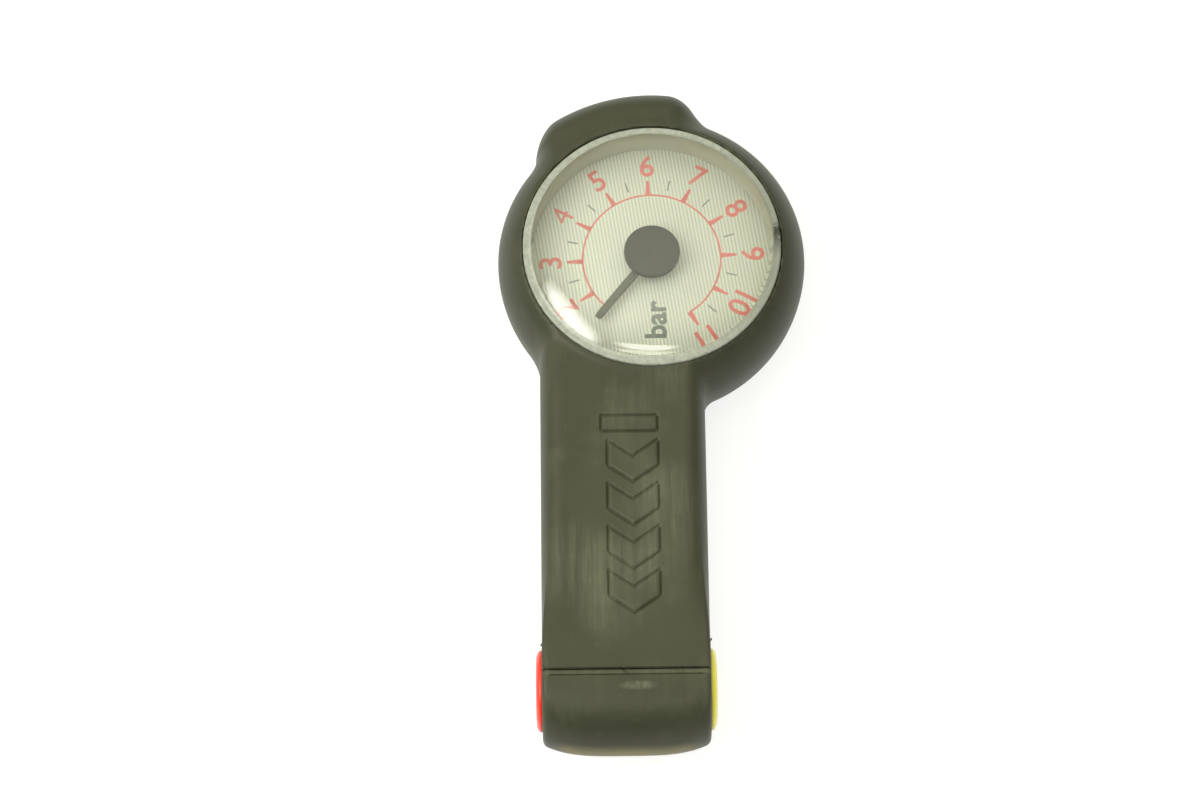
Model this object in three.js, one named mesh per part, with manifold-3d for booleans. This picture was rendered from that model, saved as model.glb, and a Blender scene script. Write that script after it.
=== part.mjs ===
// Handheld bicycle tyre pressure gauge with two valve ports, in millimetres, +Z up.
// It lies on its back: z = 0 is the back face, and the needle's axis is the Z axis.
// +Y runs along the handle towards the crown, -Y towards the port barrel, +X to the right of the dial.
//
// How it works: air from either port pushes the shuttle ball over the other port's seat and flows up the block into the cylinder.
// The piston pushes the toothed rod up against the coil spring, and the rod turns the pinion that carries the needle.
// The handle is off the dial's centre line by the rack's distance from the needle axis, and the crown gives the rod room to rise.

import * as THREE from "three";
import { mergeVertices } from "three/addons/utils/BufferGeometryUtils.js";
import Module from "manifold-3d";

const wasm = await Module();
wasm.setup();

// ---------- driving dimensions ----------
const HEAD_R = 23.6; // rubber head, outside
const CROWN_R = 28.0; // crown arc, concentric with the dial
const SIDE_L = -17.4; // handle's left side
const SIDE_R = 7.7; // handle's right side
const THICK = 17.0; // back face to handle top
const EDGE_W = 3.3; // rounded edge, measured across
const EDGE_H = 4.8; // rounded edge, measured in z
const NECK_F = 4.0; // fillet between head and handle
const RUBBER = 2.0; // rubber wall
const CASE_WALL = 1.5;
const GAP = 0.05;
const BARREL_X = (SIDE_L + SIDE_R) / 2; // -4.85
const BARREL_Y = -68.6;
const BARREL_Z = 8.5;
const END_BULGE = 9.9; // barrel axis to the end's furthest point
const SEAM_Y = -67.7; // where the sleeve stops and the end boot starts
const ROD_X = -5.2;
const ROD_Z = 8.5;
const ROD_R = 1.8;
const GEAR_M = 0.5;
const PINION_T = 16;
const PITCH_R = (GEAR_M * PINION_T) / 2; // 4.0
const LENS_R = 19.85;
const DIAL_TOP = 12.0;
const RIM_TOP = 17.6;
const DOME_TOP = 21.0;
const NEEDLE_DEG = 230.9; // rest direction, anticlockwise from +X
const PORT_R = 6.11; // port collar, outside
const CYL_BORE = 3.2;
const CYL_OUT = 4.2;
const CYL_FROM = -60.5;
const CYL_TO = -23.05;
const CASE_END = -61.6;
const PART_Z = 8.5; // parting plane of the two case halves

const N_DIAL = 48;

// ---------- helpers ----------
const rad = (d) => (d * Math.PI) / 180;

function solid(geometry) {
  const g = geometry.index ? geometry.toNonIndexed() : geometry.clone();
  for (const name of Object.keys(g.attributes))
    if (name !== "position") g.deleteAttribute(name);
  const m = mergeVertices(g, 1e-4);
  const tri = [];
  const a = m.index.array;
  for (let i = 0; i < a.length; i += 3)
    if (a[i] !== a[i + 1] && a[i + 1] !== a[i + 2] && a[i] !== a[i + 2])
      tri.push(a[i], a[i + 1], a[i + 2]);
  const make = () =>
    new wasm.Manifold(
      new wasm.Mesh({
        numProp: 3,
        vertProperties: new Float32Array(m.attributes.position.array),
        triVerts: new Uint32Array(tri),
      }),
    );
  const made = make();
  if (made.volume() > 0) return made;
  for (let i = 0; i < tri.length; i += 3)
    [tri[i + 1], tri[i + 2]] = [tri[i + 2], tri[i + 1]];
  return make();
}

function geometryOf(s) {
  const m = s.getMesh();
  const v = new Float32Array(m.numVert * 3);
  for (let i = 0; i < m.numVert; i++)
    v.set(m.vertProperties.subarray(i * m.numProp, i * m.numProp + 3), i * 3);
  const g = new THREE.BufferGeometry()
    .setAttribute("position", new THREE.BufferAttribute(v, 3))
    .setIndex(new THREE.BufferAttribute(new Uint32Array(m.triVerts), 1));
  g.computeVertexNormals();
  return g;
}

const turned = {
  x: (g) => g.rotateZ(-Math.PI / 2),
  y: (g) => g,
  z: (g) => g.rotateX(Math.PI / 2),
};

// A turned solid: profile is [radius, distance along the axis] pairs, open on the axis or closed on itself.
function lathe(axis, profile, segments = 28) {
  const points = profile.map(([r, t]) => new THREE.Vector2(r, t));
  if (profile[0][0] > 0) points.push(points[0].clone());
  return solid(turned[axis](new THREE.LatheGeometry(points, segments)));
}

function rod(axis, r, from, to, x = 0, y = 0, z = 0, segments = 24) {
  const g = new THREE.CylinderGeometry(r, r, to - from, segments);
  g.translate(0, (from + to) / 2, 0);
  return solid(turned[axis](g).translate(x, y, z));
}

function box(x0, x1, y0, y1, z0, z1) {
  return solid(
    new THREE.BoxGeometry(x1 - x0, y1 - y0, z1 - z0).translate(
      (x0 + x1) / 2,
      (y0 + y1) / 2,
      (z0 + z1) / 2,
    ),
  );
}

function prism(points, z0, z1) {
  return solid(
    new THREE.ExtrudeGeometry(new THREE.Shape(points), {
      depth: z1 - z0,
      bevelEnabled: false,
      curveSegments: 1,
    }).translate(0, 0, z0),
  );
}

// A solid through closed outlines of equal point count, from the lowest z to the highest.
function loft(rings) {
  const n = rings[0][1].length;
  const v = [];
  for (const [z, pts] of rings) for (const p of pts) v.push(p.x, p.y, z);
  const idx = [];
  for (let k = 0; k + 1 < rings.length; k++)
    for (let i = 0; i < n; i++) {
      const a = k * n + i;
      const b = k * n + ((i + 1) % n);
      idx.push(a, b, b + n, a, b + n, a + n);
    }
  const last = (rings.length - 1) * n;
  for (const [a, b, c] of THREE.ShapeUtils.triangulateShape(rings[0][1], []))
    idx.push(a, c, b);
  for (const [a, b, c] of THREE.ShapeUtils.triangulateShape(rings.at(-1)[1], []))
    idx.push(last + a, last + b, last + c);
  return solid(
    new THREE.BufferGeometry()
      .setAttribute("position", new THREE.BufferAttribute(new Float32Array(v), 3))
      .setIndex(idx),
  );
}

function ringProfile(r0, r1, t0, t1) {
  return [
    [r0, t0],
    [r1, t0],
    [r1, t1],
    [r0, t1],
  ];
}

// ---------- plan outline of head, crown and handle, moved inwards by off ----------
function outline(off, south, crownedEnd = false, fine = 1) {
  const pts = [];
  const arc = (cx, cy, r, a0, a1, n) => {
    n = Math.max(2, Math.round(n * fine));
    for (let i = 0; i <= n; i++) {
      const a = rad(a0 + ((a1 - a0) * i) / n);
      const p = new THREE.Vector2(cx + r * Math.cos(a), cy + r * Math.sin(a));
      if (!pts.length || pts[pts.length - 1].distanceTo(p) > 1e-3) pts.push(p);
    }
  };
  const deg = (x, y) => (Math.atan2(y, x) * 180) / Math.PI;
  const xr = SIDE_R - off;
  const xl = SIDE_L + off;
  // right neck fillet
  const fr = [SIDE_R + NECK_F, 0];
  fr[1] = -Math.sqrt((HEAD_R + NECK_F) ** 2 - fr[0] ** 2);
  // left neck fillet
  const fl = [SIDE_L - NECK_F, 0];
  fl[1] = -Math.sqrt((HEAD_R + NECK_F) ** 2 - fl[0] ** 2);
  // crown, right end: a convex arc into a long hollow one
  const cv = 7.0;
  const cf = 14.0;
  const a0 = 90 - 5.2;
  const A = [(CROWN_R - cv) * Math.cos(rad(a0)), (CROWN_R - cv) * Math.sin(rad(a0))];
  const la = CROWN_R - cv;
  const lb = HEAD_R + cf;
  const theta =
    (Math.acos((la * la + lb * lb - (cv + cf) ** 2) / (2 * la * lb)) * 180) / Math.PI;
  const B = [lb * Math.cos(rad(a0 - theta)), lb * Math.sin(rad(a0 - theta))];
  // crown, left end: a round corner, then a small fillet into the head
  const cl = 5.0;
  const C = [SIDE_L + cl, 0];
  C[1] = Math.sqrt((CROWN_R - cl) ** 2 - C[0] ** 2);
  const f2 = 3.0;
  const D = [SIDE_L - f2, 0];
  D[1] = Math.sqrt((HEAD_R + f2) ** 2 - D[0] ** 2);

  if (crownedEnd) {
    // the barrel end: a shallow arc with small round corners
    const half = (SIDE_R - SIDE_L) / 2;
    const sag = 1.9;
    const R = (half * half + sag * sag) / (2 * sag);
    const cy = BARREL_Y - END_BULGE + R;
    const c = 3.6;
    const gx = half - c;
    const gy = cy - Math.sqrt((R - c) ** 2 - gx ** 2);
    const ang = deg(gx, gy - cy);
    arc(BARREL_X - gx, gy, c - Math.min(off, c - 0.2), 180, 360 + deg(-gx, gy - cy), 4);
    arc(BARREL_X, cy, R - off, deg(-gx, gy - cy) + 360, ang + 360, 8);
    arc(BARREL_X + gx, gy, c - Math.min(off, c - 0.2), ang, 0, 4);
  } else {
    pts.push(new THREE.Vector2(xl, south), new THREE.Vector2(xr, south));
  }
  arc(fr[0], fr[1], NECK_F + off, 180, 180 + deg(fr[0], fr[1]), 5);
  arc(0, 0, HEAD_R - off, deg(fr[0], fr[1]), a0 - theta, 22);
  arc(B[0], B[1], cf + off, a0 - theta + 180, 180 + deg(B[0] - A[0], B[1] - A[1]), 4);
  arc(A[0], A[1], cv - off, deg(B[0] - A[0], B[1] - A[1]), a0, 5);
  arc(0, 0, CROWN_R - off, a0, deg(C[0], C[1]), 8);
  arc(C[0], C[1], cl - off, deg(C[0], C[1]), 180, 5);
  arc(D[0], D[1], f2 + off, 0, deg(D[0], D[1]) - 180, 4);
  arc(0, 0, HEAD_R - off, deg(D[0], D[1]), deg(fl[0], fl[1]) + 360, 16);
  arc(fl[0], fl[1], NECK_F + off, deg(fl[0], fl[1]) + 180, 0, 5);
  return pts;
}

// ---------- rubber sleeve and end boot ----------
const outer = (() => {
  const levels = [];
  for (let i = 0; i <= 4; i++) {
    const a = rad(22.5 * i);
    levels.push([EDGE_H * (1 - Math.sin(a)), EDGE_W * (1 - Math.cos(a))]);
  }
  levels.reverse();
  for (let i = 0; i <= 4; i++) {
    const a = rad(22.5 * i);
    levels.push([THICK - EDGE_H * (1 - Math.sin(a)), EDGE_W * (1 - Math.cos(a))]);
  }
  const body = loft(levels.map(([z, off]) => [z, outline(off, 0, true, 0.8)]));
  // the barrel end is half round in side view
  const side = [new THREE.Vector2(40, -1), new THREE.Vector2(40, THICK + 1)];
  side.push(new THREE.Vector2(BARREL_Y + 1, THICK + 1));
  for (let i = 0; i <= 14; i++) {
    const a = rad(90 + (180 * i) / 14);
    side.push(
      new THREE.Vector2(
        BARREL_Y + 10.0 * Math.cos(a),
        BARREL_Z + (THICK / 2 + 0.005) * Math.sin(a),
      ),
    );
  }
  side.push(new THREE.Vector2(BARREL_Y + 1, -1));
  const g = new THREE.ExtrudeGeometry(new THREE.Shape(side), {
    depth: 60,
    bevelEnabled: false,
    curveSegments: 1,
  });
  // drawn in (y, z), pushed along x
  g.applyMatrix4(
    new THREE.Matrix4().makeBasis(
      new THREE.Vector3(0, 1, 0),
      new THREE.Vector3(0, 0, 1),
      new THREE.Vector3(1, 0, 0),
    ),
  ).translate(-30, 0, 0);
  return body.intersect(solid(g));
})();

const portHole = rod("x", 6.0, -40, 40, 0, BARREL_Y, BARREL_Z, 32);

const sleeve = outer
  .subtract(
    loft([
      [RUBBER, outline(RUBBER, -90, false, 0.6)],
      [12.25, outline(RUBBER, -90, false, 0.6)],
      [THICK - RUBBER, outline(RUBBER + 1.4, -90, false, 0.6)],
    ]),
  )
  .subtract(
    box(SIDE_L + RUBBER, SIDE_R - RUBBER, -90, CASE_END - 0.2, RUBBER, THICK - RUBBER),
  )
  .subtract(
    lathe(
      "z",
      [
        [0, THICK - 4],
        [20.55, THICK - 4],
        [20.55, 16.25],
        [19.97, 16.25],
        [19.97, 16.75],
        [20.3, THICK + 0.1],
        [0, THICK + 0.1],
      ],
      N_DIAL,
    ),
  )
  .subtract(box(-40, 40, -100, SEAM_Y, -1, 30))
  .subtract(portHole);

const boot = outer
  .intersect(box(-40, 40, -100, SEAM_Y - 0.2, -1, 30))
  .subtract(rod("x", 6.46, -10.46, 10.46, BARREL_X, BARREL_Y, BARREL_Z, 32))
  .subtract(portHole)
  // shallow groove behind the front lip
  .subtract(
    box(SIDE_L + 1.6, SIDE_R - 1.6, BARREL_Y - 0.3, BARREL_Y - 0.05, THICK - 0.3, THICK + 1),
  );

// ---------- inner case ----------
const SCREWS = [
  [13.2, -11.6],
  [-13.2, 11.6],
  [-11.6, -44],
  [2.0, -44],
];
const POSTS = [
  [-12.3, 0],
  [9.5, 0],
];
const SADDLES = [-30, -52];
const caseOut = RUBBER + GAP;
const caseIn = caseOut + CASE_WALL;
const inX0 = SIDE_L + caseIn;
const inX1 = SIDE_R - caseIn;
const roofIn = THICK - caseIn;

function saddle(y, z0, z1) {
  return box(inX0 - 0.3, inX1 + 0.3, y - 0.7, y + 0.7, z0, z1).subtract(
    rod("y", CYL_OUT + 0.08, y - 2, y + 2, ROD_X, 0, ROD_Z, 32),
  );
}

let caseRear = prism(outline(caseOut, CASE_END, false, 0.6), caseOut, PART_Z - GAP).subtract(
  prism(outline(caseIn, -70, false, 0.6), caseIn, PART_Z + 1),
);
for (const [x, y] of SCREWS)
  caseRear = caseRear.add(rod("z", 2.1, 3.3, PART_Z - GAP, x, y, 0, 20));
for (const [x, y] of POSTS)
  caseRear = caseRear.add(rod("z", 1.9, 3.3, 9.9, x, y, 0, 20));
caseRear = caseRear.add(rod("z", 2.7, 3.3, 5.2, 0, 0, 0, 24));
for (const y of SADDLES) caseRear = caseRear.add(saddle(y, 3.3, PART_Z - GAP));
caseRear = caseRear.add(box(inX0 - 0.3, inX1 + 0.3, -60.4, -59.6, 3.3, 4.3));
for (const [x, y] of SCREWS)
  caseRear = caseRear
    .subtract(rod("z", 1.15, 0, 12, x, y, 0, 16))
    .subtract(rod("z", 2.05, 0, 3.25, x, y, 0, 20));
for (const [x, y] of POSTS)
  caseRear = caseRear.subtract(rod("z", 0.88, 5.5, 12, x, y, 0, 12));
caseRear = caseRear.subtract(rod("z", 1.5, 3.56, 6, 0, 0, 0, 20));

const shoulder = (off, z0, z1, z2) =>
  loft([
    [z0, outline(off, off === caseIn ? -70 : CASE_END, false, 0.6)],
    [z1, outline(off, off === caseIn ? -70 : CASE_END, false, 0.6)],
    [z2, outline(off + 1.4, off === caseIn ? -70 : CASE_END, false, 0.6)],
  ]);
let caseFront = shoulder(caseOut, PART_Z, 12.2, THICK - caseOut).subtract(
  shoulder(caseIn, PART_Z - 1, 11.6, roofIn),
);
caseFront = caseFront.add(lathe("z", ringProfile(18.2, 20.5, 10.4, 16.2), N_DIAL));
for (const [x, y] of SCREWS)
  caseFront = caseFront.add(
    rod("z", 2.1, PART_Z, y > -20 ? 11.15 : roofIn + 0.3, x, y, 0, 20),
  );
for (const y of SADDLES) caseFront = caseFront.add(saddle(y, PART_Z, roofIn + 0.3));
caseFront = caseFront.add(
  box(inX0 - 0.3, inX1 + 0.3, -60.4, -59.6, 12.7, roofIn + 0.3),
);
caseFront = caseFront
  .subtract(rod("z", 19.95, 11.2, 20, 0, 0, 0, N_DIAL))
  .subtract(rod("z", 18.2, 11.0, 20, 0, 0, 0, N_DIAL));
for (const [x, y] of SCREWS)
  caseFront = caseFront.subtract(
    rod("z", 1.04, 0, y > -20 ? 12 : 12.4, x, y, 0, 16),
  );

// ---------- dial side ----------
const lensDome = (r0, z0, zTop, n) => {
  // spherical cap from (r0, z0) to the axis at zTop
  const h = zTop - z0;
  const R = (r0 * r0 + h * h) / (2 * h);
  const out = [];
  for (let i = 0; i <= n; i++) {
    const r = (r0 * (n - i)) / n;
    out.push([r, zTop - R + Math.sqrt(R * R - r * r)]);
  }
  return out;
};
const lens = lathe(
  "z",
  [
    ...lensDome(18.6, 16.75, 19.75, 4).reverse(),
    [18.95, 16.45],
    [18.95, DIAL_TOP + GAP],
    [LENS_R, DIAL_TOP + GAP],
    [LENS_R, RIM_TOP - 0.25],
    [LENS_R - 0.25, RIM_TOP],
    ...lensDome(19.0, RIM_TOP, DOME_TOP, 5),
  ],
  N_DIAL,
);
const dialPlate = lathe("z", ringProfile(2.4, 19.8, 11.25, DIAL_TOP), N_DIAL);
const dialRing = lathe(
  "z",
  [
    [18.2, DIAL_TOP + GAP],
    [18.88, DIAL_TOP + GAP],
    [18.88, 16.35],
    [18.6, 16.35],
  ],
  N_DIAL,
);

// ---------- movement ----------
// Pinion: involute flanks on the left and right of each tooth, thinned for backlash. A tooth space faces the rack.
function pinionOutline() {
  const pa = rad(20);
  const rb = PITCH_R * Math.cos(pa);
  const ra = PITCH_R + GEAR_M;
  const rr = PITCH_R - 1.25 * GEAR_M;
  const thin = 0.05 / PITCH_R;
  const inv = (r) => {
    const t = Math.sqrt(Math.max(0, (r / rb) ** 2 - 1));
    return t - Math.atan(t);
  };
  const halfAtPitch = Math.PI / (2 * PINION_T) - thin;
  const half = (r) => halfAtPitch + inv(PITCH_R) - inv(Math.max(r, rb));
  const pts = [];
  for (let k = 0; k < PINION_T; k++) {
    const c = ((k + 0.5) * 2 * Math.PI) / PINION_T;
    const rs = [rr, rb, PITCH_R + 0.1, ra];
    for (const r of rs)
      pts.push([r, c - half(r) - (r === rr ? 0.01 : 0)]);
    for (const r of [...rs].reverse())
      pts.push([r, c + half(r) + (r === rr ? 0.01 : 0)]);
  }
  return pts.map(([r, a]) => new THREE.Vector2(r * Math.cos(a), r * Math.sin(a)));
}
const pinion = prism(pinionOutline(), 7.4, 9.6)
  .add(rod("z", 2.2, 5.6, 7.5, 0, 0, 0, 24))
  .add(rod("z", 0.8, 3.65, 14.5, 0, 0, 0, 20));
const rearBush = lathe("z", ringProfile(0.87, 1.44, 3.62, 5.5), 20);
const frontBush = lathe(
  "z",
  [
    [0.87, 9.7],
    [1.44, 9.7],
    [1.44, 10.46],
    [2.1, 10.46],
    [2.1, 11.0],
    [0.87, 11.0],
  ],
  20,
);
const bridge = (() => {
  const s = [];
  const arc = (cx, cy, r, a0, a1, n) => {
    for (let i = 0; i <= n; i++) {
      const a = rad(a0 + ((a1 - a0) * i) / n);
      s.push(new THREE.Vector2(cx + r * Math.cos(a), cy + r * Math.sin(a)));
    }
  };
  arc(POSTS[0][0], 0, 2.3, 90, 270, 8);
  arc(0, 0, 5.0, 213, 327, 10);
  arc(POSTS[1][0], 0, 2.3, -90, 90, 8);
  arc(0, 0, 5.0, 33, 147, 10);
  return prism(s, 9.93, 10.43)
    .subtract(rod("z", 1.5, 9, 12, 0, 0, 0, 20))
    .subtract(rod("z", 0.95, 9, 12, ...POSTS[0], 0, 12))
    .subtract(rod("z", 0.95, 9, 12, ...POSTS[1], 0, 12));
})();
const rackGuide = box(-9.6, -4.9, -3.5, 3.5, caseIn + GAP, 9.8)
  .subtract(rod("y", 1.92, -5, 5, ROD_X, 0, ROD_Z, 24))
  .subtract(box(ROD_X, 0, -5, 5, ROD_Z - 1.92, 12));

// Screws: a pan or countersunk head with a cross slot, and a plain shank.
function screw(headR, headH, shankR, length) {
  return lathe(
    "z",
    [
      [0, 0],
      [headR * 0.86, 0],
      [headR, headH * 0.35],
      [headR, headH],
      [shankR, headH],
      [shankR, length - shankR],
      [0, length],
    ],
    12,
  )
    .subtract(box(-headR * 0.62, headR * 0.62, -0.2, 0.2, -1, headH * 0.55))
    .subtract(box(-0.2, 0.2, -headR * 0.62, headR * 0.62, -1, headH * 0.55));
}

// ---------- piston, rod and spring, along Y about the rod's axis ----------
const tube = lathe("y", ringProfile(CYL_BORE, CYL_OUT, CYL_FROM, CYL_TO), 32);
const oring = lathe(
  "y",
  Array.from({ length: 6 }, (_, i) => {
    const a = ((i + 0.5) * Math.PI) / 3;
    return [3.68 + 0.47 * Math.cos(a), -61.05 + 0.47 * Math.sin(a)];
  }),
  24,
);
const gland = lathe(
  "y",
  [
    [1.93, -24.9],
    [3.14, -24.9],
    [3.14, -23.0],
    [4.2, -23.0],
    [4.2, -22.0],
    [1.93, -22.0],
  ],
  32,
);
const piston = lathe(
  "y",
  [
    [0, -61.55],
    [1.2, -61.55],
    [1.2, -60.4],
    [2.9, -60.4],
    [3.1, -60.2],
    [3.1, -59.5],
    [2.35, -59.5],
    [2.35, -58.0],
    [3.1, -58.0],
    [3.1, -57.0],
    [1.06, -57.0],
    [1.06, -59.8],
    [0, -59.8],
  ],
  32,
);
const pistonSeal = lathe(
  "y",
  [
    [2.39, -59.45],
    [2.95, -59.45],
    [3.14, -59.2],
    [3.14, -58.3],
    [2.95, -58.05],
    [2.39, -58.05],
  ],
  32,
);
const rackRod = (() => {
  const pitch = Math.PI * GEAR_M;
  const pa = Math.tan(rad(20));
  const tip = ROD_X + ROD_R - 0.1; // -3.5, half a module past the pitch line
  const line = -PITCH_R;
  const root = line - 1.25 * GEAR_M;
  const end = 1.6;
  const from = -28;
  const hw = pitch / 4 - 0.05; // half tooth at the pitch line
  const s = [
    [ROD_X - 3, end],
    [ROD_X - 3, from],
    [tip, from],
  ];
  // teeth from the far end up: one is centred on y = 0
  for (let k = -14; k <= 0; k++) {
    const c = k * pitch;
    const low = c - hw;
    const high = c + hw;
    s.push([root, low - pa * (line - root) ]);
    s.push([tip, low + pa * (tip - line)]);
    s.push([tip, high - pa * (tip - line)]);
    s.push([root, high + pa * (line - root)]);
  }
  s.splice(3, 0, [tip, -14 * pitch - pitch / 2 - 0.6], [root, -14 * pitch - pitch / 2]);
  s.push([root, end]);
  const toothed = prism(
    s.map(([x, y]) => new THREE.Vector2(x - ROD_X, y)),
    -1.2,
    1.2,
  ).intersect(rod("y", ROD_R, -30, 2, 0, 0, 0, 24));
  return toothed
    .add(rod("y", ROD_R, -56.95, from + 0.01, 0, 0, 0, 24))
    .add(rod("y", 1.0, -59.75, -56.9, 0, 0, 0, 24));
})();

class Coil extends THREE.Curve {
  constructor(r, y0, y1, turns, wire) {
    super();
    Object.assign(this, { r, y0, y1, turns, wire });
  }
  getPoint(t, target = new THREE.Vector3()) {
    const n = t * this.turns;
    const closed = this.wire * 1.04;
    const open = (this.y1 - this.y0 - 2 * closed) / (this.turns - 2);
    let y;
    if (n < 1) y = this.y0 + closed * n;
    else if (n > this.turns - 1) y = this.y1 - closed * (this.turns - n);
    else y = this.y0 + closed + open * (n - 1);
    const a = n * 2 * Math.PI;
    return target.set(this.r * Math.cos(a), y, this.r * Math.sin(a));
  }
}
const spring = (() => {
  const wire = 0.35;
  const section = new THREE.Shape(
    Array.from({ length: 6 }, (_, i) => {
      const a = ((i + 0.5) * Math.PI) / 3;
      return new THREE.Vector2(wire * Math.cos(a), wire * Math.sin(a));
    }),
  );
  return solid(
    new THREE.ExtrudeGeometry(section, {
      steps: 13 * 9,
      curveSegments: 1,
      bevelEnabled: false,
      extrudePath: new Coil(2.6, -57.0 + 0.42, -24.9 - 0.42, 13, 0.7),
    }),
  );
})();

// ---------- needle ----------
const needle = (() => {
  const w = 0.62;
  const s = [
    [1.2, -w],
    [12.9, -w],
    [13.4, -w * 0.4],
    [13.4, w * 0.4],
    [12.9, w],
    [1.2, w],
  ].map(([x, y]) => new THREE.Vector2(x, y));
  return prism(s, 13.55, 13.9)
    .add(rod("z", 2.4, 13.3, 13.9, 0, 0, 0, 24))
    .subtract(rod("z", 0.84, 13, 15, 0, 0, 0, 20));
})();
const needleCap = lathe(
  "z",
  [
    [0, 14.65],
    [0.9, 14.65],
    [0.9, 13.93],
    [4.1, 13.93],
    [4.3, 14.1],
    [4.3, 14.85],
    [4.05, 15.05],
    [2.0, 15.12],
    [0, 15.14],
  ],
  32,
);

// ---------- port barrel, about its own centre, ports along X ----------
const block = (() => {
  const dx = ROD_X - BARREL_X;
  let b = rod("x", 6.4, -10.4, 10.4, 0, 0, 0, 24);
  b = b.add(box(dx - 6.4, dx + 6.4, 0, 11.2, -4.8, 4.8));
  b = b.subtract(rod("y", 4.25, 7.0, 12, dx, 0, ROD_Z - BARREL_Z, 32));
  b = b.subtract(rod("y", 0.7, 0, 7.5, 0, 0, 0, 12));
  b = b.subtract(rod("x", 2.3, -5, 5, 0, 0, 0, 24));
  b = b.subtract(rod("x", 5.2, 3.9, 11, 0, 0, 0, 32));
  b = b.subtract(rod("x", 5.2, -11, -3.9, 0, 0, 0, 32));
  b = b.subtract(box(dx - 7, dx + 7, 8.1, 9.1, 4.1, 6));
  b = b.subtract(box(dx - 7, dx + 7, 8.1, 9.1, -6, -4.1));
  return b;
})();
// Each port is drawn facing +X and turned round for the other side.
function openingPin(pinOut, pinIn, reach) {
  return lathe(
    "x",
    [
      [pinIn, 3.95],
      [5.1, 3.95],
      [5.1, 5.0],
      [pinOut, 5.0],
      [pinOut, reach],
      [pinIn, reach],
    ],
    24,
  ).subtract(box(reach - 0.5, reach + 1, -3, 3, -0.3, 0.3));
}
function grommet(bore) {
  return lathe(
    "x",
    [
      [bore + 0.3, 5.05],
      [5.12, 5.05],
      [5.12, 8.5],
      [bore + 0.3, 8.5],
      [bore, 7.9],
      [bore, 5.65],
    ],
    32,
  );
}
function collar(hole, flat) {
  return lathe(
    "x",
    [
      [hole, 8.55],
      [5.12, 8.55],
      [5.12, 10.45],
      [5.9, 10.45],
      [5.9, 12.6],
      [PORT_R, 12.6],
      [PORT_R, 12.78],
      [5.95, 13.08],
      [5.6, 13.29],
      [5.15, 13.42],
      [flat, 13.5],
      [hole + 0.25, 13.5],
      [hole, 13.25],
    ],
    32,
  );
}
const shuttle = solid(new THREE.SphereGeometry(2.2, 14, 10));

// ---------- materials ----------
const mat = (color, roughness, metalness = 0, extra = {}) =>
  new THREE.MeshStandardMaterial({ color, roughness, metalness, ...extra });
const rubberBlack = mat(0x4a4b3d, 0.62);
const caseBlack = mat(0x2a2b28, 0.5);
const clear = mat(0xf2f5ea, 0.05, 0, { transparent: true, opacity: 0.3 });
const dialWhite = mat(0xdfe3cb, 0.7);
const ringBeige = mat(0xb9baa2, 0.6);
const needleBlack = mat(0x3a3b33, 0.45);
const portRed = mat(0xe8442a, 0.35);
const portYellow = mat(0xe6d63a, 0.35);
const sealRubber = mat(0x1d1d1b, 0.7);
const brass = mat(0xc4a052, 0.35, 1);
const steel = mat(0xb6b8ba, 0.3, 1);
const aluminium = mat(0xc9cbcd, 0.35, 1);
const pomWhite = mat(0xe4e2d8, 0.45);

// ---------- scene graph ----------
function add(group, name, shape, material, x = 0, y = 0, z = 0) {
  const mesh = new THREE.Mesh(geometryOf(shape), material);
  mesh.name = name;
  mesh.position.set(x, y, z);
  group.add(mesh);
  return mesh;
}

const gauge = new THREE.Group();

const covers = new THREE.Group();
add(covers, "rubber_sleeve", sleeve, rubberBlack);
add(covers, "end_boot", boot, rubberBlack);
gauge.add(covers);

const housing = new THREE.Group();
add(housing, "case_rear", caseRear, caseBlack);
add(housing, "case_front", caseFront, caseBlack);
SCREWS.forEach(([x, y], i) =>
  add(
    housing,
    "case_screw_" + (i + 1),
    screw(1.85, 1.05, 0.98, y > -20 ? 8.8 : 9.9),
    steel,
    x,
    y,
    2.12,
  ),
);
gauge.add(housing);

const face = new THREE.Group();
add(face, "lens", lens, clear);
add(face, "dial_plate", dialPlate, dialWhite);
add(face, "dial_ring", dialRing, ringBeige);
gauge.add(face);

const movement = new THREE.Group();
add(movement, "movement_bridge", bridge, steel);
POSTS.forEach(([x, y], i) => {
  const m = add(
    movement,
    "bridge_screw_" + (i + 1),
    screw(1.6, 0.55, 0.82, 4.6),
    steel,
    x,
    y,
    11.02,
  );
  m.rotation.x = Math.PI;
});
add(movement, "rear_bush", rearBush, brass);
add(movement, "front_bush", frontBush, brass);
add(movement, "rack_guide", rackGuide, pomWhite);
gauge.add(movement);

const pointer = new THREE.Group();
add(pointer, "pinion_shaft", pinion, brass);
const blade = add(pointer, "needle", needle, needleBlack);
blade.rotation.z = rad(NEEDLE_DEG);
add(pointer, "needle_cap", needleCap, needleBlack);
gauge.add(pointer);

const cylinder = new THREE.Group();
cylinder.position.set(ROD_X, 0, ROD_Z);
add(cylinder, "cylinder_tube", tube, aluminium);
add(cylinder, "cylinder_oring", oring, sealRubber);
add(cylinder, "cylinder_gland", gland, brass);
add(cylinder, "piston", piston, pomWhite);
add(cylinder, "piston_seal", pistonSeal, sealRubber);
add(cylinder, "rack_rod", rackRod, pomWhite);
add(cylinder, "piston_spring", spring, steel);
gauge.add(cylinder);

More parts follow.
